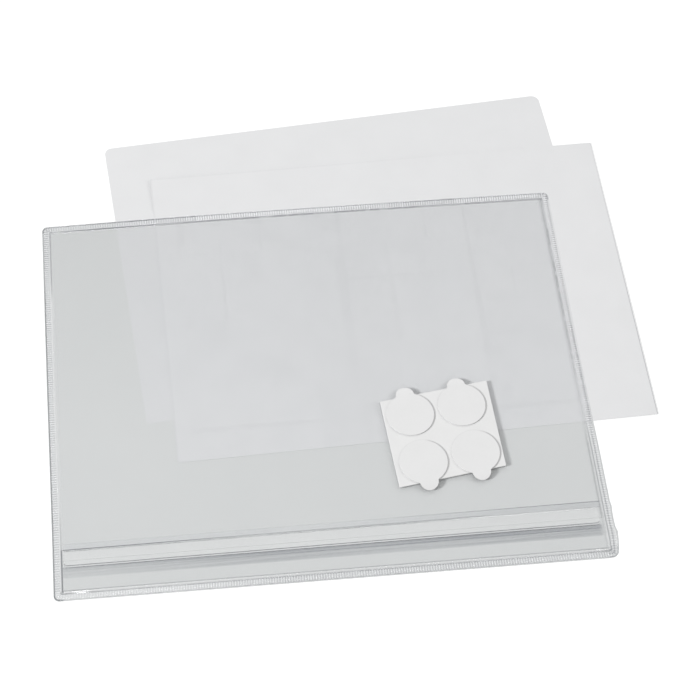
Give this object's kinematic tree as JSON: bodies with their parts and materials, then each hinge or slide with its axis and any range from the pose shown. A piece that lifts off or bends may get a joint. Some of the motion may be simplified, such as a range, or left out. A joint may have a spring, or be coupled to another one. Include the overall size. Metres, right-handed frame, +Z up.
{
  "type": "poster pocket",
  "caption": "Flat clear film pocket with a ribbed edge weld and a closing flap over its mouth, a card of round stick-on pads on top and blank sheets underneath.",
  "frame": {"origin": "on the surface that the set lies on, under the middle of the pocket", "axes": "+X along the mouth, to the right when the mouth is nearest; +Y away from the mouth; +Z up, out of the front film"},
  "size_m": [0.3738, 0.3461, 0.0036],
  "materials": {
    "clear_film": "clear glossy soft vinyl",
    "welded_film": "clear vinyl, embossed by the weld",
    "pad_card": "white matte",
    "pad_foam": "white foam, tacky",
    "pad_liner": "white silicone-coated paper, satin",
    "sheet_paper": "white uncoated paper"
  },
  "bodies": {
    "pocket": {"back_film": "clear_film", "front_film": "clear_film", "lip_film": "clear_film", "flap_weld": "welded_film", "edge_weld_near": "welded_film", "edge_weld_far": "welded_film", "edge_weld_left": "welded_film", "edge_weld_right": "welded_film"},
    "flap": {"flap": "clear_film"},
    "pad_card": {"pad_card": "pad_card"},
    "adhesive_pad_1": {"adhesive_pad_1": "pad_foam"},
    "adhesive_pad_2": {"adhesive_pad_2": "pad_foam"},
    "adhesive_pad_3": {"adhesive_pad_3": "pad_foam"},
    "adhesive_pad_4": {"adhesive_pad_4": "pad_foam"},
    "pad_liner_1": {"pad_liner_1": "pad_liner"},
    "pad_liner_2": {"pad_liner_2": "pad_liner"},
    "pad_liner_3": {"pad_liner_3": "pad_liner"},
    "pad_liner_4": {"pad_liner_4": "pad_liner"},
    "insert_sheet_under": {"insert_sheet_under": "sheet_paper"},
    "insert_sheet_over": {"insert_sheet_over": "sheet_paper"}
  },
  "joints": [
    {"name": "flap_hinge", "type": "hinge", "parent": "pocket", "child": "flap", "pos_m": [0, -0.1005, 0.00122], "axis": [-1, 0, 0], "range_deg": [0, 150]},
    {"name": "pad_card_lift", "type": "slide", "parent": "pocket", "child": "pad_card", "axis": [0, 0, 1], "range_m": [0, 0.03]},
    {"name": "adhesive_pad_1_lift", "type": "slide", "parent": "pad_card", "child": "adhesive_pad_1", "axis": [0, 0, 1], "range_m": [0, 0.02]},
    {"name": "adhesive_pad_2_lift", "type": "slide", "parent": "pad_card", "child": "adhesive_pad_2", "axis": [0, 0, 1], "range_m": [0, 0.02]},
    {"name": "adhesive_pad_3_lift", "type": "slide", "parent": "pad_card", "child": "adhesive_pad_3", "axis": [0, 0, 1], "range_m": [0, 0.02]},
    {"name": "adhesive_pad_4_lift", "type": "slide", "parent": "pad_card", "child": "adhesive_pad_4", "axis": [0, 0, 1], "range_m": [0, 0.02]},
    {"name": "pad_liner_1_peel", "type": "slide", "parent": "adhesive_pad_1", "child": "pad_liner_1", "axis": [0, 0, 1], "range_m": [0, 0.015]},
    {"name": "pad_liner_2_peel", "type": "slide", "parent": "adhesive_pad_2", "child": "pad_liner_2", "axis": [0, 0, 1], "range_m": [0, 0.015]},
    {"name": "pad_liner_3_peel", "type": "slide", "parent": "adhesive_pad_3", "child": "pad_liner_3", "axis": [0, 0, 1], "range_m": [0, 0.015]},
    {"name": "pad_liner_4_peel", "type": "slide", "parent": "adhesive_pad_4", "child": "pad_liner_4", "axis": [0, 0, 1], "range_m": [0, 0.015]},
    {"name": "sheet_under_slide", "type": "slide", "parent": "pocket", "child": "insert_sheet_under", "axis": [-0.0823, 0.9966, 0], "range_m": [0, 0.165]},
    {"name": "sheet_over_slide", "type": "slide", "parent": "pocket", "child": "insert_sheet_over", "axis": [-0.0255, 0.9997, 0], "range_m": [0, 0.185]}
  ]
}
